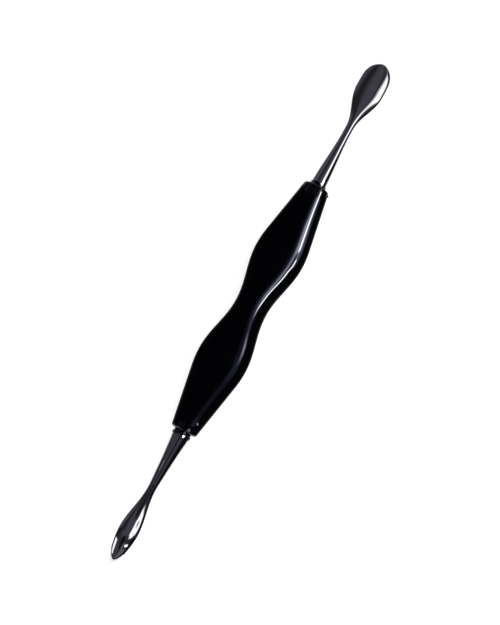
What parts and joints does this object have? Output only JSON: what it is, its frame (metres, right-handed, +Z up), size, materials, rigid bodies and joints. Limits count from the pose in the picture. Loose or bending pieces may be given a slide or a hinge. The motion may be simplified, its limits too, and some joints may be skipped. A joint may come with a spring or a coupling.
{
  "type": "double-ended manicure tool",
  "caption": "Hand tool with a black hourglass grip, a round spoon-shaped steel pusher at one end and a pointed leaf-shaped steel cleaner at the other.",
  "frame": {"origin": "middle of the tool's length and width, on the surface that the flat underside of the grip lies on", "axes": "+X along the tool towards the spoon end, +Y across its width, +Z up through the grip's thickness"},
  "size_m": [0.1362, 0.0124, 0.0081],
  "materials": {
    "grip_plastic": "glossy black moulded plastic",
    "polished_steel": "mirror polished stainless steel"
  },
  "bodies": {
    "root": {"grip": "grip_plastic", "spoon_pusher": "polished_steel", "pointed_cleaner": "polished_steel"}
  },
  "joints": []
}
